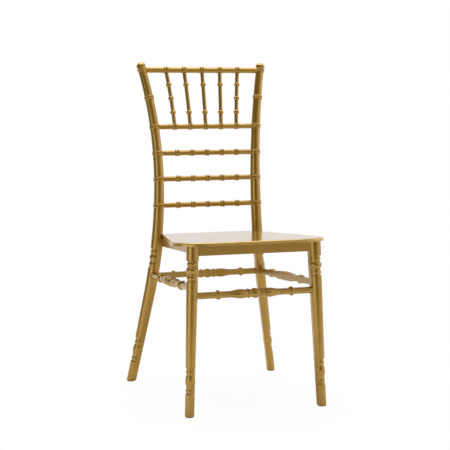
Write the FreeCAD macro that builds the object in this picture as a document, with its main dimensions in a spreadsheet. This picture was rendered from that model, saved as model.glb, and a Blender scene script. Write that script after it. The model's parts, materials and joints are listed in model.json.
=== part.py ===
import FreeCAD, Part
import math
import os
import Sketcher
from FreeCAD import Placement, Rotation, Vector

# Chiavari chair with turned legs, a ladder back under a spindle crest, and a flat seat panel.
# Millimetres, +Z up, the floor at z = 0. The sitter faces -Y and +X is on the viewer's right
# when the chair is seen from the front.

SIZES = (
    ("seat_front_height", 453, "top of the seat panel at its front edge"),
    ("seat_fall", 2.86, "angle by which the seat falls to the back"),
    ("seat_front_reach", 239, "front edge of the seat in front of the chair's middle"),
    ("seat_depth", 421, "front edge to back edge"),
    ("seat_front_width", 463.8, "where the sides would meet the front edge without the round corners"),
    ("seat_back_width", 274.4, "where the sides would meet the back edge"),
    ("seat_corner_radius", 80, "front corners in plan"),
    ("seat_back_corner_radius", 10, "back corners in plan"),
    ("seat_thickness", 9, "panel"),
    ("seat_edge_round", 5, "rounding along the panel's upper edge"),
    ("apron_depth", 25.6, "below the panel"),
    ("apron_thickness", 13, ""),
    ("apron_setout", 7, "outer face of a front or rear apron outside the line between leg axes"),
    ("housing_depth", 5, "how far an apron enters a leg or another apron"),
    ("side_apron_front", 153, "outer face of a side apron off the chair's middle, at the front legs"),
    ("side_apron_rear", 142, "outer face of a side apron off the chair's middle, at the rear posts"),
    ("front_foot_spread", 372.6, "between the front foot centres"),
    ("foot_front_reach", 230.1, "front foot centres in front of the chair's middle"),
    ("front_leg_splay", 2.142, "sideways lean of a front leg"),
    ("front_leg_rake", 2.607, "forward lean of a front leg"),
    ("front_leg_top_radius", 16.6, "plain block under the seat"),
    ("post_top_height", 906, "rear post under its finial"),
    ("post_top_radius", 11.4, ""),
    ("post_waist_radius", 14.4, ""),
    ("post_seat_radius", 15.6, "rear post beside the seat"),
    ("waist_height", 564.5, "where the rear posts have their waist radius"),
    ("post_spread", 292, "between the rear post axes where they are closest together"),
    ("post_spread_height", 585, "level at which they are closest together"),
    ("post_spread_bow_above", 1497, "radius of the sideways bow above that level"),
    ("post_spread_bow_below", 1930, "radius of the sideways bow below that level"),
    ("post_back_reach", 172.3, "rear post axes behind the chair's middle where they lie foremost"),
    ("post_reach_height", 500, "level at which they lie foremost"),
    ("post_reach_bow_above", 1490, "radius of the backward bow above that level"),
    ("post_reach_bow_below", 1650, "radius of the backward bow below that level"),
    ("straight_height", 255, "below this the rear leg is straight"),
    ("shaft_top_radius", 15.3, "leg just under its upper turnings"),
    ("shaft_foot_radius", 13, "leg just above its lower turnings"),
    ("foot_radius", 12.3, "plain foot"),
    ("foot_height", 60, "plain foot, up to the first groove"),
    ("foot_turning_height", 70, "lower turnings, from the plain foot to the shaft"),
    ("upper_turning_height", 60, "upper turnings, from the shaft to the plain block"),
    ("front_block_below_seat", 37, "plain block of a front leg, from the panel to the turnings"),
    ("rear_block_below_seat", 32, "plain block of a rear leg, from the panel to the turnings"),
    ("groove_depth", 2.6, "turned grooves"),
    ("core_corner_radius", 3, "rounded inner corner of the square core of a leg"),
    ("core_foot_corner_radius", 7, "the same corner at a front leg's foot"),
    ("plain_side_setback", 1.8, "round part of a front leg's plain inner side inside its core"),
    ("ring_height", 12.5, "double ring round a rear post"),
    ("ring_proud", 2.2, "double ring above the post's surface"),
    ("crest_height", 898.1, "axis of the top rail"),
    ("post_ring_height", 819, "ring between the top rail and the spindle rail"),
    ("spindle_rail_height", 737, "axis of the rail under the spindles"),
    ("upper_ladder_height", 662.5, "axis"),
    ("middle_ladder_height", 589.3, "axis"),
    ("lower_ladder_height", 514.4, "axis"),
    ("crest_radius", 8.2, "top rail"),
    ("rail_radius", 7.25, "the other four rails of the back"),
    ("rail_seat_gap", 5, "end of a rail short of the post's axis"),
    ("collar_proud", 2.4, "collar above a rail's surface"),
    ("collar_width", 14, "double collar along its rail"),
    ("collar_share", 6.6, "rail span over collar spacing"),
    ("spindle_radius", 5.5, ""),
    ("spindle_bead_radius", 8.2, ""),
    ("spindle_bead_height", 11.5, ""),
    ("stretcher_height", 312.6, "axis of the front and rear stretchers"),
    ("side_stretcher_rise", 20, "front end of a side stretcher above its rear end"),
    ("stretcher_radius", 8.15, ""),
    ("stretcher_seat_gap", 4, "end of the front or rear stretcher short of a leg's axis"),
    ("side_stretcher_seat_gap", 9.5, "end of a side stretcher short of a leg's axis"),
    ("end_bead_reach", 102.5, "end bead from the middle of a stretcher"),
    ("end_bead_radius", 12.1, ""),
    ("end_bead_width", 11, ""),
    ("centre_bead_radius", 12.8, ""),
    ("centre_bead_width", 19, ""),
    ("vase_start", 24, "thick end of a vase from the middle of a stretcher"),
    ("vase_end", 67, "thin end of a vase from the middle of a stretcher"),
    ("vase_radius", 11.7, ""),
    ("finial_radius", 13.4, "dome on a rear post"),
    ("finial_height", 14, "dome and neck"),
    ("dowel_radius", 3, "dowel under a finial"),
    ("dowel_length", 12, ""),
    ("glide_radius", 10.6, "plastic glide under a foot"),
    ("glide_height", 2.5, ""),
    ("glide_pin_radius", 3, ""),
    ("glide_pin_length", 12, ""),
    ("block_height", 20, "corner block under the panel"),
    ("block_inner_leg", 24, "corner block, its short edge from the corner"),
    ("block_outer_leg", 60, "corner block, its long edge from the corner"),
    ("screw_radius", 2, "seat screw"),
    ("screw_bite", 5, "seat screw inside the panel"),
    ("screw_head_radius", 4, ""),
    ("screw_head_height", 2.5, ""),
    ("bolt_radius", 2.5, "corner bolt"),
    ("bolt_seat_gap", 7, "tip of a corner bolt short of the leg's axis"),
    ("spot_face_depth", 1.5, "flat under the bolt's head, into the block"),
    ("bolt_head_radius", 6, ""),
    ("bolt_head_height", 4, ""),
    ("fit_gap", 0.1, "clearance all round a tenon, pin or screw"),
)

doc = FreeCAD.newDocument("chiavari_chair")
sheet = doc.addObject("Spreadsheet::Sheet", "sizes")
for row, (alias, amount, note) in enumerate(SIZES, start=1):
    sheet.set("A%d" % row, alias)
    sheet.set("B%d" % row, str(amount))
    sheet.set("C%d" % row, note)
    sheet.setAlias("B%d" % row, alias)
doc.recompute()
probe = doc.addObject("App::FeaturePython", "probe")


def size(expression):
    """The value of an expression such as 'sizes.seat_depth / 2' in millimetres or degrees."""
    amount = probe.evalExpression(expression)
    return float(getattr(amount, "Value", amount))


# Places worked out from the sizes, as expressions that the objects are bound to.

FRONT_FOOT_X = "(sizes.front_foot_spread / 2)"


def bow(height, level, above, below):
    """How far an axis bowed about a level has moved outwards at a height."""
    rise = "(%s - %s)" % (height, level)
    arc = "(%s - sqrt(%s^2 - %s^2))"
    if size(height) >= size(level):
        return arc % (above, above, rise)
    if size(height) >= size("sizes.straight_height"):
        return arc % (below, below, rise)
    start = "(sizes.straight_height - %s)" % level
    slope = "(-%s / sqrt(%s^2 - %s^2))" % (start, below, start)
    return "(%s + %s * (sizes.straight_height - %s))" % (
        arc % (below, below, start), slope, height)


def post_x(height):
    return "(sizes.post_spread / 2 + %s)" % bow(
        height, "sizes.post_spread_height", "sizes.post_spread_bow_above",
        "sizes.post_spread_bow_below")


def post_y(height):
    return "(sizes.post_back_reach + %s)" % bow(
        height, "sizes.post_reach_height", "sizes.post_reach_bow_above",
        "sizes.post_reach_bow_below")


def front_leg_x(height):
    return "(%s - %s * tan(sizes.front_leg_splay))" % (FRONT_FOOT_X, height)


def front_leg_y(height):
    return "(%s * tan(sizes.front_leg_rake) - sizes.foot_front_reach)" % height


def seat_top_at(y):
    return "(sizes.seat_front_height - (%s + sizes.seat_front_reach) * tan(sizes.seat_fall))" % y


SEAT_FRAME = ("placement(vector(0; -sizes.seat_front_reach; sizes.seat_front_height);"
              " rotation(vector(1; 0; 0); -sizes.seat_fall))")
PANEL_UNDERSIDE = "(-sizes.seat_thickness)"
APRON_UNDERSIDE = "(-sizes.seat_thickness - sizes.apron_depth)"
LEG_TOP_HEIGHT = "(%s - sizes.seat_thickness)" % seat_top_at("(-sizes.foot_front_reach)")
REAR_UNDERSIDE = "(%s - sizes.seat_thickness)" % seat_top_at("sizes.post_back_reach")


def along(start, end):
    """A placement with its origin at start and its Z axis towards end."""
    x, y, z = ["(%s - %s)" % (b, a) for a, b in zip(start, end)]
    length = "sqrt(%s^2 + %s^2 + %s^2)" % (x, y, z)
    return "placement(vector(%s; %s; %s); rotation(vector(-%s; %s; 0); acos(%s / %s)))" % (
        start[0], start[1], start[2], y, x, z, length)


def between(start, end):
    """The distance from start to end."""
    return "sqrt(%s)" % " + ".join("(%s - %s)^2" % (b, a) for a, b in zip(start, end))


def middle_of(start, end):
    return ["((%s + %s) / 2)" % (a, b) for a, b in zip(start, end)]


def bind(item, **properties):
    for name, expression in properties.items():
        item.setExpression(name.replace("_", "."), expression)
    return item


# Sketch and solid helpers

def origin_plane(body, role):
    return [item for item in body.Origin.OriginFeatures if item.Role == role][0]


def closed_sketch(body, name, plane, corners):
    """A closed outline through corners of (across, up) or (across, up, bulge) expressions.

    A bulge bows the edge from that corner to the next one outwards by so much. Each corner is
    held by its two distances from the origin and each bowed edge by its radius.
    """
    sketch = body.newObject("Sketcher::SketchObject", name)
    sketch.AttachmentSupport = [(origin_plane(body, plane), "")]
    sketch.MapMode = "FlatFace"
    points = [Vector(size(corner[0]), size(corner[1]), 0) for corner in corners]
    edges = []
    rules = []
    bound = []
    for index, corner in enumerate(corners):
        after = (index + 1) % len(corners)
        start, end = points[index], points[after]
        rules.append(Sketcher.Constraint("Coincident", index, 2, after, 1))
        if len(corner) == 2:
            edges.append(Part.LineSegment(start, end))
            continue
        bulge = size(corner[2])
        chord = end - start
        side = Vector(chord.y, -chord.x, 0).normalize()
        edges.append(Part.Arc(start, (start + end) / 2 + side * bulge, end))
        across = "(%s - %s)" % (corners[after][0], corner[0])
        up = "(%s - %s)" % (corners[after][1], corner[1])
        radius = "(((%s^2 + %s^2) / 4 + %s^2) / (2 * %s))" % (across, up, corner[2], corner[2])
        bound.append((len(rules), radius))
        rules.append(Sketcher.Constraint("Radius", index, size(radius)))
    for index, corner in enumerate(corners):
        for kind, axis, expression in (("DistanceX", -2, corner[0]), ("DistanceY", -1, corner[1])):
            amount = size(expression)
            if abs(amount) < 1e-9:
                rules.append(Sketcher.Constraint("PointOnObject", index, 1, axis))
                continue
            bound.append((len(rules), expression))
            rules.append(Sketcher.Constraint(kind, -1, 1, index, 1, amount))
    sketch.addGeometry(edges, False)
    sketch.addConstraint(rules)
    for index, expression in bound:
        sketch.setExpression("Constraints[%d]" % index, expression)
    return sketch


def new_body(name):
    return doc.addObject("PartDesign::Body", name)


def revolve_in(body, name, corners):
    """Turns an outline of (radius, height) corners round the body's Z axis."""
    sketch = closed_sketch(body, name + "_outline", "XZ_Plane", corners)
    turned = body.newObject("PartDesign::Revolution", name)
    turned.Profile = sketch
    turned.ReferenceAxis = (sketch, ["V_Axis"])
    turned.Angle = 360
    return turned


def pad_in(body, name, corners, height):
    """Pads an outline of (x, y) corners up from the body's XY plane."""
    sketch = closed_sketch(body, name + "_outline", "XY_Plane", corners)
    pad = body.newObject("PartDesign::Pad", name)
    pad.Profile = sketch
    bind(pad, Length=height)
    return pad


def box_tool(name, x, y, z, placement=None):
    """A box between (from, to) expressions, in the frame of placement."""
    body = new_body(name)
    corners = ((x[0], y[0]), (x[1], y[0]), (x[1], y[1]), (x[0], y[1]))
    pad = pad_in(body, name + "_pad", corners, "%s - %s" % (z[1], z[0]))
    bind(pad.Profile[0], AttachmentOffset_Base_z=z[0])
    if placement:
        bind(body, Placement=placement)
    return body


def rod_tool(name, radius, start, end):
    """A cylinder from start to end."""
    rod = doc.addObject("Part::Cylinder", name)
    return bind(rod, Radius=radius, Height=between(start, end), Placement=along(start, end))


def fuse(name, shapes):
    joined = doc.addObject("Part::MultiFuse", name)
    joined.Shapes = shapes
    return joined


NODES = []


def finish(label, base, tools=()):
    """Makes the sub-part called label: base, less its tools."""
    piece = base
    for tool in tools:
        cut = doc.addObject("Part::Cut", "%s_less_%s" % (label, tool.Name))
        cut.Base = piece
        cut.Tool = tool
        cut.Refine = False
        piece = cut
    piece.Label = label
    NODES.append(piece)
    return piece


def widened(expression):
    return "(%s + sizes.fit_gap)" % expression


# Turned outlines

# Degrees from straight ahead, inwards, between which a front leg's inner side is plain and round
PLAIN_SIDE_ANGLES = (70, 22)

def foot_turning(bottom):
    """Corners of the plain foot and the lower turnings, from bottom up to the shaft."""
    groove = "(sizes.shaft_foot_radius - sizes.groove_depth)"
    ring = "(sizes.foot_radius - 0.6)"

    def up(share):
        return "(sizes.foot_height + sizes.foot_turning_height * %s)" % share

    return [
        ("sizes.foot_radius", bottom),
        ("sizes.foot_radius", "(sizes.foot_height - 1)"),
        (groove, up(0.03)),
        (groove, up(0.07), "(%s - %s)" % (ring, groove)),
        (groove, up(0.19)),
        (groove, up(0.29), "(sizes.foot_radius + 0.8 - %s)" % groove),
        (groove, up(0.71)),
        (groove, up(0.74), "(%s - %s)" % (ring, groove)),
        (groove, up(0.89)),
        (groove, up(0.95)),
        ("sizes.shaft_foot_radius", up(1.0)),
    ]


def upper_turning(base, block_radius):
    """Corners of the upper turnings, from the shaft at base up to the plain block."""
    groove = "(sizes.shaft_top_radius - sizes.groove_depth)"
    ring_bulge = "(sizes.groove_depth - 0.8)"

    def up(share):
        return "(%s + sizes.upper_turning_height * %s)" % (base, share)

    return [
        ("sizes.shaft_top_radius", base),
        ("sizes.shaft_top_radius", up(0.08)),
        (groove, up(0.115)),
        (groove, up(0.155), ring_bulge),
        (groove, up(0.32)),
        (groove, up(0.42), "(%s - %s)" % (block_radius, groove)),
        (groove, up(0.70)),
        (groove, up(0.76), ring_bulge),
        (groove, up(0.91)),
        (groove, up(0.936)),
        (block_radius, up(1.0)),
    ]


def core_corners(side, half, corner_radius):
    """Plan of a front leg's plain inner side, as (x, y) corners round the leg's axis.

    It has a square corner behind the axis on the chair's inner side, and from there a round
    side that ends a little inwards of straight ahead. side is -1 or 1 and points inwards.
    """
    start, end = [math.radians(angle) for angle in PLAIN_SIDE_ANGLES]
    round_start = "(%s - %s)" % (half, corner_radius)
    bulge = "(%s * %.6f)" % (corner_radius, 1 - math.sqrt(0.5))
    side_radius = "(%s - sizes.plain_side_setback)" % half
    side_bulge = "(%s * %.6f)" % (side_radius, 1 - math.cos((start - end) / 2))
    side_start, side_end = [("(%d * %s * %.6f)" % (side, side_radius, math.sin(angle)),
                             "(-%s * %.6f)" % (side_radius, math.cos(angle)))
                            for angle in (start, end)]
    beside = "(%d * %s)" % (side, half)
    corners = [("0", "0"), ("0", half), ("(%d * %s)" % (side, round_start), half),
               (beside, round_start), (beside, "0"), side_start, side_end]
    bulges = [(), (), (bulge,), (), (), (side_bulge,), ()]
    if side > 0:
        corners = corners[:1] + corners[:0:-1]
        bulges = bulges[::-1]
    return [corner + bow_out for corner, bow_out in zip(corners, bulges)]


# Seat panel

def seat_panel():
    body = new_body("seat_body")
    front = "(sizes.seat_front_width / 2)"
    back = "(sizes.seat_back_width / 2)"
    outline = (("(-%s)" % front, "0"), (front, "0"), (back, "sizes.seat_depth"),
               ("(-%s)" % back, "sizes.seat_depth"))
    pad = pad_in(body, "seat_pad", outline, "sizes.seat_thickness")
    bind(pad.Profile[0], AttachmentOffset_Base_z=PANEL_UNDERSIDE)
    doc.recompute()
    for name, radius, at_front in (("front_corners", "sizes.seat_corner_radius", True),
                                   ("back_corners", "sizes.seat_back_corner_radius", False)):
        base = body.Tip
        upright = []
        for index, edge in enumerate(base.Shape.Edges, start=1):
            low, high = edge.BoundBox.ZMin, edge.BoundBox.ZMax
            is_upright = high - low > size("sizes.seat_thickness") * 0.9
            if is_upright and (edge.CenterOfMass.y < size("sizes.seat_depth") / 2) == at_front:
                upright.append("Edge%d" % index)
        fillet = body.newObject("PartDesign::Fillet", name)
        fillet.Base = (base, upright)
        bind(fillet, Radius=radius)
        doc.recompute()
    base = body.Tip
    rim = ["Edge%d" % index for index, edge in enumerate(base.Shape.Edges, start=1)
           if edge.BoundBox.ZMin > -1e-6]
    fillet = body.newObject("PartDesign::Fillet", "upper_edge")
    fillet.Base = (base, rim)
    bind(fillet, Radius="sizes.seat_edge_round")
    bind(body, Placement=SEAT_FRAME)
    return body


def post_notch(side_name, side):
    """Room for a rear post in the side of the panel."""
    low, high = ["(%s + %d)" % (REAR_UNDERSIDE, rise) for rise in (-5, 20)]
    start, end = [["(%d * %s)" % (side, post_x(level)), post_y(level), level]
                  for level in (low, high)]
    return rod_tool("post_notch_" + side_name, widened("sizes.post_seat_radius"), start, end)


# Aprons: front and rear across the chair between the legs, and two side aprons that run past
# the legs' inner sides and are housed in the front and rear ones.
# They are laid out in the seat's frame: x across, y back from the front edge, z off the panel.

def in_seat_frame(y):
    return "(%s + sizes.seat_front_reach)" % y


FRONT_APRON_X = front_leg_x(LEG_TOP_HEIGHT)
FRONT_APRON_Y = in_seat_frame(front_leg_y(LEG_TOP_HEIGHT))
REAR_APRON_X = post_x(REAR_UNDERSIDE)
REAR_APRON_Y = in_seat_frame(post_y(REAR_UNDERSIDE))
SIDE_TAPER = "((sizes.side_apron_front - sizes.side_apron_rear) / (%s - %s))" % (
    REAR_APRON_Y, FRONT_APRON_Y)
INNER_FACE = "(sizes.apron_thickness - sizes.apron_setout)"


def side_line(y, inset):
    """x of a line that lies inset inside the outer face of a side apron."""
    return "(sizes.side_apron_front - (%s - %s) * %s - %s)" % (y, FRONT_APRON_Y, SIDE_TAPER, inset)


def cross_apron(name, half, y, gap="0"):
    inner = "(%s + %s)" % (INNER_FACE, gap)
    outer = "(sizes.apron_setout + %s)" % gap
    front, back = ("(%s - %s)" % (y, outer), "(%s + %s)" % (y, inner))
    if name.startswith("rear"):
        front, back = ("(%s - %s)" % (y, inner), "(%s + %s)" % (y, outer))
    half = "(%s + %s)" % (half, gap)
    return box_tool(name, ("(-%s)" % half, half), (front, back),
                    ("(%s - %s)" % (APRON_UNDERSIDE, gap), "(%s + %s)" % (PANEL_UNDERSIDE, gap)),
                    SEAT_FRAME)


FRONT_APRON_HALF = "(%s - sizes.front_leg_top_radius + sizes.housing_depth)" % FRONT_APRON_X
REAR_APRON_HALF = "(%s - sizes.post_seat_radius + sizes.housing_depth)" % REAR_APRON_X
SIDE_APRON_START = "(%s + %s - sizes.housing_depth)" % (FRONT_APRON_Y, INNER_FACE)
SIDE_APRON_END = "(%s - %s + sizes.housing_depth)" % (REAR_APRON_Y, INNER_FACE)


def side_apron(name, side, gap="0"):
    start = "(%s - %s)" % (SIDE_APRON_START, gap)
    end = "(%s + %s)" % (SIDE_APRON_END, gap)
    inner = "(sizes.apron_thickness + %s)" % gap
    outer = "(-%s)" % gap
    corners = [(side_line(start, inner), start), (side_line(start, outer), start),
               (side_line(end, outer), end), (side_line(end, inner), end)]
    corners = [("(%d * %s)" % (side, x), y) for x, y in corners]
    body = new_body(name)
    pad = pad_in(body, name + "_pad", corners, "sizes.apron_depth + 2 * %s" % gap)
    bind(pad.Profile[0], AttachmentOffset_Base_z="%s - %s" % (APRON_UNDERSIDE, gap))
    bind(body, Placement=SEAT_FRAME)
    return body


# Corner blocks, with the bolt that pulls each one to its leg and the screw up into the panel

CORNERS = (("front", "left", -1), ("front", "right", 1), ("rear", "left", -1), ("rear", "right", 1))


def block_outline(end, side):
    """Corners of a block, the point that its bolt passes and the leg's axis, in the seat frame."""
    if end == "front":
        face = "(%s + %s)" % (FRONT_APRON_Y, INNER_FACE)
        turn = "1"
        axis = (FRONT_APRON_X, FRONT_APRON_Y)
    else:
        face = "(%s - %s)" % (REAR_APRON_Y, INNER_FACE)
        turn = "-1"
        axis = (REAR_APRON_X, REAR_APRON_Y)
    near = "(%s + %s * sizes.block_inner_leg)" % (face, turn)
    far = "(%s + %s * sizes.block_outer_leg)" % (face, turn)
    corner = side_line(face, "sizes.apron_thickness")
    corners = [("(%s - sizes.block_inner_leg)" % corner, face),
               ("(%s - sizes.block_outer_leg)" % corner, face),
               (side_line(far, "sizes.apron_thickness"), far),
               (side_line(near, "sizes.apron_thickness"), near)]
    mid_inner = middle_of(corners[0], corners[3])
    mid_outer = middle_of(corners[1], corners[2])
    signed = "(%d * %%s)" % side
    return ([(signed % x, y) for x, y in corners], (signed % mid_outer[0], mid_outer[1]),
            (signed % mid_inner[0], mid_inner[1]), (signed % axis[0], axis[1]))


BOLT_LEVEL = "(%s - sizes.block_height / 2)" % PANEL_UNDERSIDE


def placed_in_seat(item, start, end):
    """Lays a rod between two points of the seat's frame."""
    x, y, z = ["(%s - %s)" % (b, a) for a, b in zip(start, end)]
    turn = "rotation(vector(-%s; %s; 0); acos(%s / %s))" % (y, x, z, between(start, end))
    place = "placement(vector(%s; %s; %s); %s)" % (start[0], start[1], start[2], turn)
    return bind(item, Placement="%s * %s" % (SEAT_FRAME, place))


def seat_rod(name, radius, start, end):
    rod = doc.addObject("Part::Cylinder", name)
    bind(rod, Radius=radius, Height=between(start, end))
    return placed_in_seat(rod, start, end)


def point_between(start, end, reach):
    """The point on the line from start to end that lies reach before end."""
    share = "(1 - %s / %s)" % (reach, between(start, end))
    return ["(%s + (%s - %s) * %s)" % (a, b, a, share) for a, b in zip(start, end)]


def bolt_line(end, side):
    """Head seat and tip of a corner bolt in the seat frame."""
    outline, outer, inner, axis = block_outline(end, side)
    face = [outer[0], outer[1], BOLT_LEVEL]
    axis = [axis[0], axis[1], BOLT_LEVEL]
    return point_between(axis, face, "sizes.spot_face_depth"), point_between(
        face, axis, "sizes.bolt_seat_gap")


def corner_block(end, side_name, side):
    label = "%s_%s_block" % (end, side_name)
    outline, outer, inner, axis = block_outline(end, side)
    body = new_body(label + "_body")
    pad = pad_in(body, label + "_pad", outline, "sizes.block_height")
    bind(pad.Profile[0], AttachmentOffset_Base_z="%s - sizes.block_height" % PANEL_UNDERSIDE)
    bind(body, Placement=SEAT_FRAME)
    bolt_start, bolt_tip = bolt_line(end, side)
    screw_x, screw_y = screw_place(end, side)
    hole = seat_rod(label + "_bolt_hole", widened("sizes.bolt_radius"), bolt_start, bolt_tip)
    spot = seat_rod(label + "_spot_face", widened("sizes.bolt_head_radius"),
                    point_between(bolt_tip, bolt_start, "(-sizes.bolt_head_height)"), bolt_start)
    screw = seat_rod(label + "_screw_hole", widened("sizes.screw_radius"),
                     [screw_x, screw_y, "(%s - sizes.block_height - 1)" % PANEL_UNDERSIDE],
                     [screw_x, screw_y, "0"])
    return finish(label, body, [hole, spot, screw])


def screw_place(end, side):
    """Where a seat screw rises: beside the bolt, towards the side apron."""
    outline, outer, inner, axis = block_outline(end, side)
    return middle_of(outline[2], inner)


def seat_screw_rods(name, gap):
    """The four seat screws' shanks, widened by gap."""
    rods = []
    for end, side_name, side in CORNERS:
        x, y = screw_place(end, side)
        rods.append(seat_rod(
            "%s_%s_%s" % (name, end, side_name), "(sizes.screw_radius + %s)" % gap,
            [x, y, "(%s - sizes.block_height)" % PANEL_UNDERSIDE],
            [x, y, "(%s + sizes.screw_bite + %s)" % (PANEL_UNDERSIDE, gap)]))
    return rods


def seat_screws():
    shanks = seat_screw_rods("seat_screw", "0")
    screws = []
    for shank, (end, side_name, side) in zip(shanks, CORNERS):
        x, y = screw_place(end, side)
        under = "(%s - sizes.block_height)" % PANEL_UNDERSIDE
        head = seat_rod("seat_screw_head_%s_%s" % (end, side_name), "sizes.screw_head_radius",
                        [x, y, "(%s - sizes.screw_head_height)" % under], [x, y, under])
        screws.append(fuse("seat_screw_%s_%s_whole" % (end, side_name), [shank, head]))
    return group("seat_screws", screws)


def corner_bolts():
    bolts = []
    for end, side_name, side in CORNERS:
        start, tip = bolt_line(end, side)
        name = "corner_bolt_%s_%s" % (end, side_name)
        shank = seat_rod(name + "_shank", "sizes.bolt_radius", start, tip)
        head_end = point_between(tip, start, "(-sizes.bolt_head_height)")
        head = seat_rod(name + "_head", "sizes.bolt_head_radius", head_end, start)
        bolts.append(fuse(name, [shank, head]))
    return group("corner_bolts", bolts)


def group(label, solids):
    together = doc.addObject("Part::Compound", label + "_group")
    together.Links = solids
    return finish(label, together)


def bolt_hole(owner, end, side):
    """The hole for a corner bolt through the sub-part called owner."""
    start, tip = bolt_line(end, side)
    deeper = point_between(start, tip, "(-sizes.fit_gap)")
    return seat_rod("%s_%s_bolt_hole_%d" % (owner, end, side > 0), widened("sizes.bolt_radius"),
                    start, deeper)


def cross_apron_holes(end):
    """Housings for the side aprons and bolt holes in the front or rear apron."""
    owner = end + "_apron"
    tools = []
    for side_name, side in (("left", -1), ("right", 1)):
        tools.append(side_apron("%s_%s_housing" % (owner, side_name), side, "sizes.fit_gap"))
        tools.append(bolt_hole(owner, end, side))
    return tools


# Stretchers

def stretcher_ends(name):
    """Start and end of a stretcher's axis, on the axes of its two legs."""
    level = "sizes.stretcher_height"
    front_level = "(sizes.stretcher_height + sizes.side_stretcher_rise)"
    if name == "front":
        x, y = front_leg_x(level), front_leg_y(level)
        return ["(-%s)" % x, y, level], [x, y, level]
    if name == "rear":
        x, y = post_x(level), post_y(level)
        return ["(-%s)" % x, y, level], [x, y, level]
    side = {"left": "-1", "right": "1"}[name]
    rear = ["(%s * %s)" % (side, post_x(level)), post_y(level), level]
    front = ["(%s * %s)" % (side, front_leg_x(front_level)), front_leg_y(front_level), front_level]
    return rear, front


# Quarter turns about a stretcher's own axis that bring its flat side to face inwards
FLAT_TURN = {"front": 0, "rear": 180, "left": -90, "right": 90}


def seat_gap(name):
    across = name in ("front", "rear")
    return "sizes.stretcher_seat_gap" if across else "sizes.side_stretcher_seat_gap"


def stretcher_frame(name):
    """Origin half way along a stretcher, Z along it and Y towards its flat inner side."""
    start, end = stretcher_ends(name)
    turn = "placement(vector(0; 0; 0); rotation(vector(0; 0; 1); %d))" % FLAT_TURN[name]
    return "%s * %s" % (along(middle_of(start, end), end), turn)


def stretcher(name):
    start, end = stretcher_ends(name)
    half = "(%s / 2 - %s)" % (between(start, end), seat_gap(name))
    bead_half = "(sizes.centre_bead_width / 2)"
    end_half = "(sizes.end_bead_width / 2)"
    waist = "(sizes.stretcher_radius + 1.6)"
    ring_start = "(sizes.centre_bead_width / 2 + 6)"
    ring_end = "(sizes.vase_start - 1.5)"
    vase_mid = "(sizes.vase_start + (sizes.vase_end - sizes.vase_start) * 0.72)"
    half_outline = [
        (waist, bead_half), (waist, ring_start, "(sizes.centre_bead_radius - 0.5 - %s)" % waist),
        (waist, ring_end), (waist, "sizes.vase_start", "(sizes.vase_radius - %s)" % waist),
        (waist, vase_mid), ("sizes.stretcher_radius", "sizes.vase_end"),
        ("sizes.stretcher_radius", "(sizes.end_bead_reach - %s)" % end_half,
         "(sizes.end_bead_radius - sizes.stretcher_radius)"),
        ("sizes.stretcher_radius", "(sizes.end_bead_reach + %s)" % end_half),
        ("sizes.stretcher_radius", half), ("0", half)]
    lower = []
    for index in range(len(half_outline) - 1, -1, -1):
        radius, height = half_outline[index][:2]
        bulge = half_outline[index - 1][2:] if index else ()
        lower.append((radius, "(-%s)" % height) + tuple(bulge))
    middle_bulge = "(sizes.centre_bead_radius - %s)" % waist
    lower[-1] = lower[-1][:2] + (middle_bulge,)
    label = name + "_stretcher"
    body = new_body(label + "_body")
    turned = revolve_in(body, label + "_turning", lower + half_outline)
    inner = body.newObject("PartDesign::Pad", label + "_inner_half")
    inner.Profile = turned.Profile[0]
    inner.Reversed = True
    bind(inner, Length="sizes.stretcher_radius")
    mirror = body.newObject("PartDesign::Mirrored", label + "_inner_mirror")
    mirror.Originals = [inner]
    mirror.MirrorPlane = (origin_plane(body, "YZ_Plane"), [""])
    body.Tip = mirror
    bind(body, Placement=stretcher_frame(name))
    reach = "(2 * sizes.centre_bead_radius)"
    trim = box_tool(label + "_flat", ("(-%s)" % reach, reach), ("sizes.stretcher_radius", reach),
                    ("(-%s - 1)" % half, "(%s + 1)" % half), stretcher_frame(name))
    return finish(label, body, [trim])


def stretcher_socket(name, at_start):
    """The hole for one end of a stretcher, from its end face out towards the middle."""
    start, end = stretcher_ends(name)
    label = "%s_stretcher_socket_%d" % (name, at_start)
    radius = widened("sizes.stretcher_radius")
    deep = "(%s / 2 - %s + sizes.fit_gap)" % (between(start, end), seat_gap(name))
    mouth = "(%s / 2 - 3 * sizes.shaft_top_radius)" % between(start, end)
    low, high = (mouth, deep)
    if at_start:
        low, high = "(-%s)" % deep, "(-%s)" % mouth
    inner = box_tool(label + "_square", ("(-%s)" % radius, radius), ("0", radius), (low, high),
                     stretcher_frame(name))
    rod = doc.addObject("Part::Cylinder", label + "_round")
    slide = "placement(vector(0; 0; %s); rotation(vector(0; 0; 1); 0))" % low
    bind(rod, Radius=radius, Height="%s - %s" % (high, low),
         Placement="%s * %s" % (stretcher_frame(name), slide))
    return fuse(label, [rod, inner])


# Front legs

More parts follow.
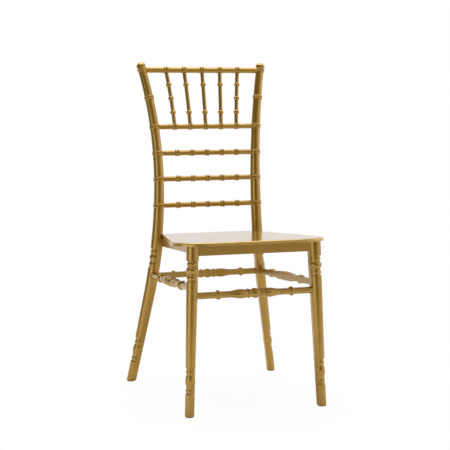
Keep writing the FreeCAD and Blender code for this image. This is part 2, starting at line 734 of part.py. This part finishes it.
def front_leg(side_name, side):
    label = "front_leg_" + side_name
    foot = ["(%d * %s)" % (side, FRONT_FOOT_X), "(-sizes.foot_front_reach)", "0"]
    top = ["(%d * %s)" % (side, front_leg_x(LEG_TOP_HEIGHT)), front_leg_y(LEG_TOP_HEIGHT),
           LEG_TOP_HEIGHT]
    turning_top = "(%s - sizes.front_block_below_seat)" % LEG_TOP_HEIGHT
    turning_base = "(%s - sizes.upper_turning_height)" % turning_top
    over = "(%s + 20)" % LEG_TOP_HEIGHT
    outline = [("0", "-5")] + foot_turning("-5")
    outline += upper_turning(turning_base, "sizes.front_leg_top_radius")
    outline += [("sizes.front_leg_top_radius", over), ("0", over)]
    body = new_body(label + "_body")
    revolve_in(body, label + "_turning", outline)
    sections = []
    for name, level, half, corner in (
            ("low", "-5", "sizes.foot_radius", "sizes.core_foot_corner_radius"),
            ("high", over, "sizes.front_leg_top_radius", "sizes.core_corner_radius")):
        section = closed_sketch(body, "%s_core_%s" % (label, name), "XY_Plane",
                                core_corners(-side, half, corner))
        bind(section, AttachmentOffset_Base_z=level)
        sections.append(section)
    core = body.newObject("PartDesign::AdditiveLoft", label + "_core")
    core.Profile = sections[0]
    core.Sections = [sections[1]]
    core.Ruled = True
    bind(body, Placement=along(foot, top))
    cuts = [
        box_tool(label + "_floor", ("-400", "400"), ("-400", "400"), ("-20", "sizes.glide_height")),
        box_tool(label + "_panel", ("-400", "400"), ("-100", "200"), (PANEL_UNDERSIDE, "60"),
                 SEAT_FRAME),
        cross_apron("front_housing_" + side_name, FRONT_APRON_HALF, FRONT_APRON_Y,
                    "sizes.fit_gap"),
        side_apron(label + "_side_housing", side, "sizes.fit_gap"),
        stretcher_socket("front", side < 0),
        stretcher_socket(side_name, False),
        glide_pin_tool("front", side_name, side),
        bolt_hole(label, "front", side),
    ]
    return finish(label, body, cuts)


# Rear posts: lofts along two bows that meet upright at the waist, with turned parts on them

def post_point(height):
    level = str(height)
    return Vector(size(post_x(level)), size(post_y(level)), height)


def post_direction(height):
    return (post_point(height + 0.5) - post_point(height - 0.5)).normalize()


def post_frame(height):
    upright = post_direction(height)
    return Placement(post_point(height), Rotation(Vector(1, 0, 0), Vector(0, 1, 0), upright, "ZXY"))


def post_radius(height):
    """Radius of the plain post above its upper turnings."""
    stations = ((size(REAR_UNDERSIDE), size("sizes.post_seat_radius")),
                (size("sizes.waist_height"), size("sizes.post_waist_radius")),
                (size("sizes.post_top_height"), size("sizes.post_top_radius")))
    if height <= stations[0][0]:
        return stations[0][1]
    for (low, start), (high, end) in zip(stations, stations[1:]):
        if height <= high:
            return start + (end - start) * (height - low) / (high - low)
    return stations[-1][1]


def spaced(low, high, step):
    count = max(2, int(math.ceil((high - low) / step)))
    return [low + (high - low) * index / count for index in range(count + 1)]


def round_loft(heights, radius_at):
    wires = []
    for height in heights:
        circle = Part.Wire([Part.makeCircle(radius_at(height))])
        circle.Placement = post_frame(height)
        wires.append(circle)
    return Part.makeLoft(wires, True, False)


def turned_solid(corners, placement):
    """Turns (radius, height) or (radius, height, bulge) corners round the Z axis of placement."""
    points = [Vector(corner[0], 0, corner[1]) for corner in corners]
    edges = []
    for index, corner in enumerate(corners):
        start, end = points[index], points[(index + 1) % len(points)]
        if len(corner) == 2:
            edges.append(Part.LineSegment(start, end).toShape())
            continue
        chord = end - start
        side = Vector(chord.z, 0, -chord.x).normalize()
        edges.append(Part.Arc(start, (start + end) / 2 + side * corner[2], end).toShape())
    face = Part.Face(Part.Wire(edges))
    solid = face.revolve(Vector(0, 0, 0), Vector(0, 0, 1), 360)
    solid.Placement = placement
    return solid


def numbers(corners):
    return [tuple(size(value) for value in corner) for corner in corners]


def turned_about(placement, angle):
    """The placement turned about its own Z axis, so that two pieces' seams lie apart."""
    return placement * Placement(Vector(0, 0, 0), Rotation(Vector(0, 0, 1), angle))


def post_ring(height):
    """Two rounded beads side by side round the post."""
    root = post_radius(height) - 1
    half = size("sizes.ring_height") / 2
    bulge = size("sizes.ring_proud") + 1
    corners = [(0, -half), (root, -half, bulge), (root, 0, bulge), (root, half), (0, half)]
    return turned_solid(corners, turned_about(post_frame(height), 70))


def core_section(height, half):
    corner = size("sizes.core_corner_radius")
    reach = half - corner * (1 - math.sqrt(0.5))
    round_start = half - corner
    points = [Vector(0, 0, 0), Vector(-half, 0, 0), Vector(-half, -round_start, 0),
              Vector(-round_start, -half, 0), Vector(0, -half, 0)]
    arc = Part.Arc(points[2], Vector(-reach, -reach, 0), points[3])
    wire = Part.Wire([Part.LineSegment(points[0], points[1]).toShape(),
                      Part.LineSegment(points[1], points[2]).toShape(), arc.toShape(),
                      Part.LineSegment(points[3], points[4]).toShape(),
                      Part.LineSegment(points[4], points[0]).toShape()])
    wire.Placement = post_frame(height)
    return wire


def plain_post():
    """The right-hand post before its sockets are cut."""
    foot_top = size("sizes.foot_height + sizes.foot_turning_height")
    turning_top = size("%s - sizes.rear_block_below_seat" % REAR_UNDERSIDE)
    turning_base = turning_top - size("sizes.upper_turning_height")
    shaft_low, shaft_high = size("sizes.shaft_foot_radius"), size("sizes.shaft_top_radius")

    def shaft_radius(height):
        share = (height - foot_top) / (turning_base - foot_top)
        return shaft_low + (shaft_high - shaft_low) * share

    straight = size("sizes.straight_height")
    lean = post_frame(straight / 2).Rotation
    foot = Placement(post_point(0), lean)
    stretch = 1 / post_direction(straight / 2).z
    lower = numbers([("0", "-8")] + foot_turning("-8"))
    lower = [(corner[0], corner[1] * stretch) + tuple(corner[2:]) for corner in lower]
    lower.append((shaft_low, (foot_top + 1) * stretch))
    lower.append((0, (foot_top + 1) * stretch))
    solids = [turned_solid(lower, turned_about(foot, 35))]
    solids.append(round_loft(spaced(foot_top, straight, 60) + spaced(straight, turning_base, 30)[1:],
                             shaft_radius))
    middle = (turning_base + turning_top) / 2
    upper = numbers(upper_turning("(-sizes.upper_turning_height / 2)", "sizes.post_seat_radius"))
    half = size("sizes.upper_turning_height") / 2
    upper = [(0, -half)] + upper + [(0, half)]
    solids.append(turned_solid(upper, turned_about(post_frame(middle), 35)))
    top = size("sizes.post_top_height")
    waist = size("sizes.waist_height")
    plain = spaced(turning_top, waist, 45) + spaced(waist, top, 45)[1:]
    solids.append(round_loft(plain, post_radius))
    for level in ("crest_height", "post_ring_height", "spindle_rail_height",
                  "upper_ladder_height", "middle_ladder_height", "lower_ladder_height"):
        solids.append(post_ring(size("sizes." + level)))
    core_top = size(REAR_UNDERSIDE) - 2
    foot_half, seat_half = size("sizes.foot_radius"), size("sizes.post_seat_radius")
    sections = [core_section(height, foot_half + (seat_half - foot_half) * height / core_top)
                for height in spaced(-8, core_top, 40)]
    solids.append(Part.makeLoft(sections, True, False))
    return solids[0].fuse(solids[1:])


def rear_post(side_name, side):
    label = "rear_post_" + side_name
    raw = doc.addObject("Part::Feature", label + "_raw")
    shape = plain_post()
    raw.Shape = shape if side > 0 else shape.mirror(Vector(0, 0, 0), Vector(1, 0, 0))
    cuts = [
        box_tool(label + "_floor", ("-400", "400"), ("-400", "400"), ("-40", "sizes.glide_height")),
        cross_apron("rear_housing_" + side_name, REAR_APRON_HALF, REAR_APRON_Y, "sizes.fit_gap"),
        side_apron(label + "_side_housing", side, "sizes.fit_gap"),
        stretcher_socket("rear", side < 0),
        stretcher_socket(side_name, True),
        glide_pin_tool("rear", side_name, side),
        bolt_hole(label, "rear", side),
        finial_dowel_tool(side_name, side),
    ]
    cuts += [rail_socket(name, side) for name in RAILS]
    return finish(label, raw, cuts)


# Rails of the back

RAILS = {
    "top_rail": ("sizes.crest_height", "sizes.crest_radius"),
    "spindle_rail": ("sizes.spindle_rail_height", "sizes.rail_radius"),
    "upper_ladder_rail": ("sizes.upper_ladder_height", "sizes.rail_radius"),
    "middle_ladder_rail": ("sizes.middle_ladder_height", "sizes.rail_radius"),
    "lower_ladder_rail": ("sizes.lower_ladder_height", "sizes.rail_radius"),
}
COLLAR_STEPS = (-2, -1, 0, 1, 2)


def collar_place(level, step):
    """x of a collar on the rail at level."""
    return "(%d * 2 * %s / sizes.collar_share)" % (step, post_x(level))


def rail(label):
    level, radius = RAILS[label]
    half = "(%s - sizes.rail_seat_gap)" % post_x(level)
    root = "(%s - 1)" % radius
    bulge = "(sizes.collar_proud + 1)"
    outline = [("0", "(-%s)" % half), (radius, "(-%s)" % half)]
    for step in COLLAR_STEPS:
        place = collar_place(level, step)
        low = "(%s - sizes.collar_width / 2)" % place
        high = "(%s + sizes.collar_width / 2)" % place
        outline += [(radius, low), (root, low, bulge), (root, place, bulge), (root, high),
                    (radius, high)]
    outline += [(radius, half), ("0", half)]
    body = new_body(label + "_body")
    revolve_in(body, label + "_turning", outline)
    middle = ["0", post_y(level), level]
    bind(body, Placement=along(middle, ["1", post_y(level), level]))
    sockets = []
    if label in SPINDLE_ENDS:
        sockets = [spindle_socket(label, step) for step in COLLAR_STEPS]
    return finish(label, body, sockets)


def rail_socket(label, side):
    level, radius = RAILS[label]
    inside = "(%d * (%s - sizes.rail_seat_gap + sizes.fit_gap))" % (side, post_x(level))
    outside = "(%d * (%s - 3 * sizes.post_seat_radius))" % (side, post_x(level))
    return rod_tool("%s_socket_%d" % (label, side), widened(radius),
                    [inside, post_y(level), level], [outside, post_y(level), level])


# Spindles between the top rail and the rail below it, bowed with the posts

SPINDLES = ("far_left", "left", "middle", "right", "far_right")
SPINDLE_ENDS = {"top_rail": -1, "spindle_rail": 1}


def spindle_point(step, height):
    share = 2 * step / size("sizes.collar_share")
    place = post_point(height)
    return Vector(place.x * share, place.y, height)


def spindle_end(label):
    """Height at which a spindle ends inside a rail, half way to the rail's axis."""
    level, radius = RAILS[label]
    return size(level) + SPINDLE_ENDS[label] * size(radius) * 0.5


def spindle_arc(step, low, high):
    return Part.Arc(spindle_point(step, low), spindle_point(step, (low + high) / 2),
                    spindle_point(step, high))


def swept_rod(arc, radius):
    start = arc.StartPoint
    toward = arc.tangent(arc.FirstParameter)[0]
    ring = Part.Wire([Part.Circle(start, toward, radius).toShape()])
    return Part.Wire([arc.toShape()]).makePipeShell([ring], True, False)


def spindle_socket(label, step):
    gap = size("sizes.fit_gap")
    end = spindle_end(label) - SPINDLE_ENDS[label] * gap
    away = size(RAILS[label][0]) + SPINDLE_ENDS[label] * size("sizes.collar_width") * 1.5
    arc = spindle_arc(step, min(end, away), max(end, away))
    socket = doc.addObject("Part::Feature", "%s_spindle_socket" % label)
    socket.Shape = swept_rod(arc, size("sizes.spindle_radius") + gap)
    return socket


def spindle(name, step):
    low, high = spindle_end("spindle_rail"), spindle_end("top_rail")
    arc = spindle_arc(step, low, high)
    solid = swept_rod(arc, size("sizes.spindle_radius"))
    rise = size("sizes.crest_height - sizes.spindle_rail_height")
    shares = (0.25, 0.5, 0.74) if abs(step) == 2 else (0.25, 0.74)
    half = size("sizes.spindle_bead_height") / 2
    root = size("sizes.spindle_radius") - 0.5
    bulge = size("sizes.spindle_bead_radius") - root
    for share in shares:
        height = size("sizes.spindle_rail_height") + rise * share
        ahead = spindle_point(step, height + 1) - spindle_point(step, height - 1)
        place = Placement(spindle_point(step, height), Rotation(Vector(0, 0, 1), ahead))
        corners = [(0, -half), (root, -half, bulge), (root, half), (0, half)]
        solid = solid.fuse(turned_solid(corners, place))
    piece = doc.addObject("Part::Feature", "spindle_%s_solid" % name)
    piece.Shape = solid
    return finish("spindle_" + name, piece)


# Finials

def finial_frame():
    """Origin at the top of the right-hand post, Z along it."""
    return post_frame(size("sizes.post_top_height"))


def mirrored(placement):
    """The same place on the left-hand side, for a turned piece."""
    toward = placement.Rotation.multVec(Vector(0, 0, 1))
    base = placement.Base
    turn = Rotation(Vector(0, 0, 1), Vector(-toward.x, toward.y, toward.z))
    return Placement(Vector(-base.x, base.y, base.z), turn)


def finial(side_name, side):
    body = new_body("finial_%s_body" % side_name)
    neck = "(sizes.post_top_radius - 0.6)"
    neck_top = "(sizes.finial_height * 0.05)"
    rim = "(sizes.finial_height * 0.13)"
    brim = "(sizes.finial_height * 0.27)"
    rise = "(sizes.finial_height * 0.73)"
    sphere = "((sizes.finial_radius^2 + %s^2) / (2 * %s))" % (rise, rise)
    half_chord = "(sizes.finial_radius^2 + %s^2) / 4" % rise
    dome = "(%s - sqrt(%s^2 - %s))" % (sphere, sphere, half_chord)
    outline = [("0", "(-sizes.dowel_length)"), ("sizes.dowel_radius", "(-sizes.dowel_length)"),
               ("sizes.dowel_radius", "0"), (neck, "0"), (neck, neck_top),
               ("sizes.finial_radius", rim),
               ("sizes.finial_radius", brim, dome),
               ("0", "sizes.finial_height")]
    revolve_in(body, "finial_%s_turning" % side_name, outline)
    place = finial_frame() if side > 0 else mirrored(finial_frame())
    body.Placement = place
    return finish("finial_" + side_name, body)


def finial_dowel_tool(side_name, side):
    hole = doc.addObject("Part::Cylinder", "finial_hole_" + side_name)
    bind(hole, Radius=widened("sizes.dowel_radius"), Height="sizes.dowel_length + 5")
    place = finial_frame() if side > 0 else mirrored(finial_frame())
    depth = size("sizes.dowel_length + sizes.fit_gap")
    hole.Placement = place * Placement(Vector(0, 0, -depth), Rotation())
    return hole


# Glides

def foot_place(end, side):
    """Plan position of a glide: on the leg's axis where the leg is cut off."""
    level = "sizes.glide_height"
    x, y = (front_leg_x(level), front_leg_y(level)) if end == "front" else (post_x(level),
                                                                            post_y(level))
    return "(%d * %s)" % (side, x), y


def glide(end, side_name, side):
    label = "%s_%s_glide" % (end, side_name)
    x, y = foot_place(end, side)
    body = new_body(label + "_body")
    pin_top = "(sizes.glide_height + sizes.glide_pin_length)"
    outline = [("0", "0"), ("(sizes.glide_radius - 0.5)", "0"), ("sizes.glide_radius", "0.5"),
               ("sizes.glide_radius", "sizes.glide_height"),
               ("sizes.glide_pin_radius", "sizes.glide_height"),
               ("sizes.glide_pin_radius", pin_top), ("0", pin_top)]
    revolve_in(body, label + "_turning", outline)
    bind(body, Placement="placement(vector(%s; %s; 0); rotation(vector(0; 0; 1); 0))" % (x, y))
    return finish(label, body)


def glide_pin_tool(end, side_name, side):
    x, y = foot_place(end, side)
    return rod_tool("%s_%s_pin_hole" % (end, side_name), widened("sizes.glide_pin_radius"),
                    [x, y, "0"],
                    [x, y, "(sizes.glide_height + sizes.glide_pin_length + sizes.fit_gap)"])


# The whole chair

SIDES = (("left", -1), ("right", 1))
finish("seat_panel", seat_panel(),
       [fuse("seat_screw_holes", seat_screw_rods("panel_hole", "sizes.fit_gap"))]
       + [post_notch(side_name, side) for side_name, side in SIDES])
finish("front_apron", cross_apron("front_apron_body", FRONT_APRON_HALF, FRONT_APRON_Y),
       cross_apron_holes("front"))
finish("rear_apron", cross_apron("rear_apron_body", REAR_APRON_HALF, REAR_APRON_Y),
       cross_apron_holes("rear"))
for side_name, side in SIDES:
    label = side_name + "_apron"
    finish(label, side_apron(label + "_body", side),
           [bolt_hole(label, "front", side), bolt_hole(label, "rear", side)])
    front_leg(side_name, side)
    rear_post(side_name, side)
    finial(side_name, side)
for name in ("front", "rear", "left", "right"):
    stretcher(name)
for label in RAILS:
    rail(label)
for name, step in zip(SPINDLES, COLLAR_STEPS):
    spindle(name, step)
for end, side_name, side in CORNERS:
    corner_block(end, side_name, side)
    glide(end, side_name, side)
seat_screws()
corner_bolts()

doc.recompute()
for item in doc.Objects:
    if "Invalid" in item.State or "Error" in item.State:
        raise RuntimeError("%s failed to build" % item.Name)
for piece in NODES:
    if piece.Shape.isNull() or not piece.Shape.isValid():
        raise RuntimeError("%s has no valid shape" % piece.Label)
os.makedirs("parts", exist_ok=True)
for piece in NODES:
    piece.Shape.exportStep("parts/%s.step" % piece.Label)
print("%d sub-parts written" % len(NODES))
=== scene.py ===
import json
import math

import bpy
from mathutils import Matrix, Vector

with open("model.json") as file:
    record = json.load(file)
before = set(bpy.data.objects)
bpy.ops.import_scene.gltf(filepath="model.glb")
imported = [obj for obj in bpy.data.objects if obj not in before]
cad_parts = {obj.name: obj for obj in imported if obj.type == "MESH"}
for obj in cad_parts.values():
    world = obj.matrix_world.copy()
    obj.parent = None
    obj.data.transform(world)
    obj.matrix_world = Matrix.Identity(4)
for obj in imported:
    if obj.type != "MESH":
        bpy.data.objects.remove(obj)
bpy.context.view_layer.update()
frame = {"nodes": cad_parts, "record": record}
chair = frame["nodes"]
print("frame loaded: %d pieces" % len(chair))


# node helpers

noiseSpan = (0.3, 0.7)  # where most values of a noise lie
mathSockets = {"value": 0, "factor": 1, "addend": 2}
colourMix = {"share": 0, "first": 6, "second": 7, "result": 2}


def newMaterial(name):
    material = bpy.data.materials.new(name)
    material.use_nodes = True
    tree = material.node_tree
    tree.nodes.clear()
    output = tree.nodes.new("ShaderNodeOutputMaterial")
    return material, tree, output


def addNode(tree, kind, settings=None, **attributes):
    node = tree.nodes.new(kind)
    for name, value in attributes.items():
        setattr(node, name, value)
    for socket, value in (settings or {}).items():
        node.inputs[socket].default_value = value
    return node


def feed(tree, source, node, *sockets):
    for socket in sockets:
        tree.links.new(source, node.inputs[socket])


def objectCoords(tree):
    return addNode(tree, "ShaderNodeTexCoord").outputs["Object"]


def noiseOver(tree, coords, scale, detail):
    noise = addNode(tree, "ShaderNodeTexNoise", {"Scale": scale, "Detail": detail})
    feed(tree, coords, noise, "Vector")
    return noise.outputs["Fac"]


def spread(tree, value, low, high):
    spanLow, spanHigh = noiseSpan
    node = addNode(tree, "ShaderNodeMapRange", {
        "From Min": spanLow, "From Max": spanHigh, "To Min": low, "To Max": high})
    feed(tree, value, node, "Value")
    return node.outputs["Result"]


def mixShaders(tree, share, first, second):
    mix = addNode(tree, "ShaderNodeMixShader")
    for source, socket in zip((share, first, second), mix.inputs):
        tree.links.new(source, socket)
    return mix.outputs["Shader"]


# gold pearl resin: a brown-gold body full of fine flake under a clear skin

goldFinishes = {
    "goldResin": {
        "deep": (0.4, 0.222, 0.026, 1), "pale": (0.465, 0.267, 0.037, 1), "metallic": 0.65,
        "roughLow": 0.27, "roughHigh": 0.3, "skin": 0.5, "skinRoughness": 0.16,
        "flakeScale": 2600.0, "waveScale": 30.0, "waveDepth": 0.00004, "edge": 0.0006,
    },
    "seatResin": {
        "deep": (0.5, 0.29, 0.045, 1), "pale": (0.57, 0.35, 0.065, 1), "metallic": 0.4,
        "roughLow": 0.18, "roughHigh": 0.21, "skin": 0.7, "skinRoughness": 0.06,
        "flakeScale": 2600.0, "waveScale": 14.0, "waveDepth": 0.00004, "edge": 0.0008,
    },
    "blockResin": {
        "deep": (0.21, 0.12, 0.03, 1), "pale": (0.29, 0.17, 0.045, 1), "metallic": 0.25,
        "roughLow": 0.45, "roughHigh": 0.55, "skin": 0.1, "skinRoughness": 0.3,
        "flakeScale": 2200.0, "waveScale": 90.0, "waveDepth": 0.0003, "edge": 0.0006,
    },
}
goldGrain = {
    "skinIor": 1.5, "flakeShare": 0.15, "flowScale": 9.0, "flowDetail": 3.0, "flowLow": 0.1,
    "flowHigh": 0.4, "roughScale": 140.0, "roughDetail": 4.0, "waveDetail": 2.0,
    "edgeSamples": 4,
}


def goldColour(tree, coords, look, grain):
    flakes = addNode(tree, "ShaderNodeTexVoronoi", {"Scale": look["flakeScale"]})
    feed(tree, coords, flakes, "Vector")
    glint = addNode(tree, "ShaderNodeSeparateColor")
    feed(tree, flakes.outputs["Color"], glint, "Color")
    flow = noiseOver(tree, coords, grain["flowScale"], grain["flowDetail"])
    tone = addNode(tree, "ShaderNodeMath", {mathSockets["factor"]: grain["flakeShare"]},
                   operation="MULTIPLY_ADD")
    feed(tree, glint.outputs["Red"], tone, mathSockets["value"])
    feed(tree, spread(tree, flow, grain["flowLow"], grain["flowHigh"]), tone,
         mathSockets["addend"])
    colour = addNode(tree, "ShaderNodeMix", data_type="RGBA")
    colour.inputs[colourMix["first"]].default_value = look["deep"]
    colour.inputs[colourMix["second"]].default_value = look["pale"]
    feed(tree, tone.outputs["Value"], colour, colourMix["share"])
    return colour.outputs[colourMix["result"]]


def goldNormal(tree, coords, look, grain):
    softEdge = addNode(tree, "ShaderNodeBevel", {"Radius": look["edge"]},
                       samples=grain["edgeSamples"])
    wave = addNode(tree, "ShaderNodeBump", {"Distance": look["waveDepth"]})
    feed(tree, noiseOver(tree, coords, look["waveScale"], grain["waveDetail"]), wave, "Height")
    feed(tree, softEdge.outputs["Normal"], wave, "Normal")
    return wave.outputs["Normal"]


def goldResin(name, look, grain):
    material, tree, output = newMaterial(name)
    coords = objectCoords(tree)
    shader = addNode(tree, "ShaderNodeBsdfPrincipled", {
        "Metallic": look["metallic"], "Coat Weight": look["skin"],
        "Coat Roughness": look["skinRoughness"], "Coat IOR": grain["skinIor"]})
    rough = noiseOver(tree, coords, grain["roughScale"], grain["roughDetail"])
    feed(tree, goldColour(tree, coords, look, grain), shader, "Base Color")
    feed(tree, spread(tree, rough, look["roughLow"], look["roughHigh"]), shader, "Roughness")
    feed(tree, goldNormal(tree, coords, look, grain), shader, "Normal", "Coat Normal")
    feed(tree, shader.outputs["BSDF"], output, "Surface")
    return material


goldMaterials = {name: goldResin(name, look, goldGrain) for name, look in goldFinishes.items()}
print("gold finishes made: %d" % len(goldMaterials))


# plain finishes of the pieces underneath

glideFinish = {
    "colour": (0.05, 0.036, 0.018, 1), "roughLow": 0.5, "roughHigh": 0.7,
    "scuffScale": 300.0, "scuffDetail": 6.0, "scuffDepth": 0.0001,
}


def glidePlastic(look):
    material, tree, output = newMaterial("glidePlastic")
    shader = addNode(tree, "ShaderNodeBsdfPrincipled", {"Base Color": look["colour"]})
    scuffs = noiseOver(tree, objectCoords(tree), look["scuffScale"], look["scuffDetail"])
    feed(tree, spread(tree, scuffs, look["roughLow"], look["roughHigh"]), shader, "Roughness")
    bump = addNode(tree, "ShaderNodeBump", {"Distance": look["scuffDepth"]})
    feed(tree, scuffs, bump, "Height")
    feed(tree, bump.outputs["Normal"], shader, "Normal")
    feed(tree, shader.outputs["BSDF"], output, "Surface")
    return material


screwFinish = {
    "colour": (0.55, 0.55, 0.53, 1), "metallic": 1.0, "roughLow": 0.3, "roughHigh": 0.46,
    "turnScale": 900.0, "turnDetail": 2.0,
}


def screwSteel(look):
    material, tree, output = newMaterial("screwSteel")
    shader = addNode(tree, "ShaderNodeBsdfPrincipled", {
        "Base Color": look["colour"], "Metallic": look["metallic"]})
    turning = noiseOver(tree, objectCoords(tree), look["turnScale"], look["turnDetail"])
    feed(tree, spread(tree, turning, look["roughLow"], look["roughHigh"]), shader, "Roughness")
    feed(tree, shader.outputs["BSDF"], output, "Surface")
    return material


finishBySlot = {
    "gold_resin": goldMaterials["goldResin"],
    "seat_resin": goldMaterials["seatResin"],
    "block_resin": goldMaterials["blockResin"],
    "glide_plastic": glidePlastic(glideFinish),
    "screw_steel": screwSteel(screwFinish),
}

for part in frame["record"]["subparts"]:
    piece = chair[part["node"]]
    piece.data.materials.clear()
    piece.data.materials.append(finishBySlot[part["material_slot"]])
print("finishes set")


# studio

studio = {
    "floorSize": 3.6, "floorShade": 0.96, "floorWhite": 0.95,
    "brightSide": (0.86, 0.51, 0.0),  # the sky is white round this direction
    "sky": ((0.0, 0.09), (0.22, 0.1), (0.4, 0.48), (0.6, 0.95), (0.75, 0.92), (0.88, 0.84),
            (1.0, 1.0)),
    "lamps": (
        ("leftBox", (-1.7, -0.85, 0.5), (1.6, 1.2), 7.6),
        ("rightBox", (2.6, -0.6, 1.4), (0.9, 2.0), 6.0),
        ("topBox", (0.0, 0.5, 3.2), (2.6, 2.6), 60.0),
    ),
    "aim": (0.0, 0.0, 0.75),
}


def grey(level):
    return (level, level, level, 1)


def makeFloor(look):
    half = look["floorSize"] / 2
    mesh = bpy.data.meshes.new("studioFloor")
    mesh.from_pydata([(-half, -half, 0), (half, -half, 0), (half, half, 0), (-half, half, 0)],
                     [], [(0, 1, 2, 3)])
    floor = bpy.data.objects.new("studioFloor", mesh)
    bpy.context.scene.collection.objects.link(floor)
    material, tree, output = newMaterial("studioFloor")
    matte = addNode(tree, "ShaderNodeBsdfDiffuse", {"Color": grey(look["floorShade"])})
    white = addNode(tree, "ShaderNodeEmission")
    path = addNode(tree, "ShaderNodeLightPath")
    share = addNode(tree, "ShaderNodeMath", {mathSockets["factor"]: look["floorWhite"]},
                    operation="MULTIPLY")
    feed(tree, path.outputs["Is Camera Ray"], share, mathSockets["value"])
    mixed = mixShaders(tree, share.outputs["Value"], matte.outputs["BSDF"],
                       white.outputs["Emission"])
    feed(tree, mixed, output, "Surface")
    mesh.materials.append(material)


def skyRamp(tree, look):
    coords = addNode(tree, "ShaderNodeTexCoord")
    toward = addNode(tree, "ShaderNodeVectorMath", {mathSockets["factor"]: look["brightSide"]},
                     operation="DOT_PRODUCT")
    feed(tree, coords.outputs["Generated"], toward, mathSockets["value"])
    share = addNode(tree, "ShaderNodeMapRange", {"From Min": -1.0})
    feed(tree, toward.outputs["Value"], share, "Value")
    ramp = addNode(tree, "ShaderNodeValToRGB")
    stops = ramp.color_ramp.elements
    stops.remove(stops[-1])
    for place, level in look["sky"]:
        stop = stops[0] if place == 0.0 else stops.new(place)
        stop.color = grey(level)
    feed(tree, share.outputs["Result"], ramp, "Fac")
    return ramp.outputs["Color"]


def makeWorld(look):
    world = bpy.data.worlds.new("studioWorld")
    bpy.context.scene.world = world
    world.use_nodes = True
    tree = world.node_tree
    tree.nodes.clear()
    output = tree.nodes.new("ShaderNodeOutputWorld")
    path = addNode(tree, "ShaderNodeLightPath")
    sky = addNode(tree, "ShaderNodeBackground")
    feed(tree, skyRamp(tree, look), sky, "Color")
    white = addNode(tree, "ShaderNodeBackground", {"Color": grey(1)})
    mixed = mixShaders(tree, path.outputs["Is Camera Ray"], sky.outputs["Background"],
                       white.outputs["Background"])
    feed(tree, mixed, output, "Surface")


def addLamp(name, place, size, power, aim):
    lamp = bpy.data.lights.new(name, "AREA")
    lamp.shape = "RECTANGLE"
    lamp.size, lamp.size_y = size
    lamp.energy = power
    holder = bpy.data.objects.new(name, lamp)
    bpy.context.scene.collection.objects.link(holder)
    holder.visible_camera = False
    holder.location = place
    toward = Vector(aim) - Vector(place)
    holder.rotation_euler = toward.to_track_quat("-Z", "Y").to_euler()


makeFloor(studio)
makeWorld(studio)
for name, place, size, power in studio["lamps"]:
    addLamp(name, place, size, power, studio["aim"])
print("studio lit")


# camera, at the photograph's viewing angle

viewpoint = {"place": (-1.194409, -3.381943, 0.848295), "down": 6.01154, "turn": -19.326249,
             "lens": 104.424, "film": 36.0}
levelPitch = 90.0

cameraData = bpy.data.cameras.new("viewCamera")
cameraData.lens = viewpoint["lens"]
cameraData.sensor_width = viewpoint["film"]
camera = bpy.data.objects.new("viewCamera", cameraData)
bpy.context.scene.collection.objects.link(camera)
camera.location = viewpoint["place"]
camera.rotation_euler = (math.radians(levelPitch - viewpoint["down"]), 0,
                         math.radians(viewpoint["turn"]))
bpy.context.scene.camera = camera
bpy.context.scene.view_settings.view_transform = "Standard"

print("camera set")
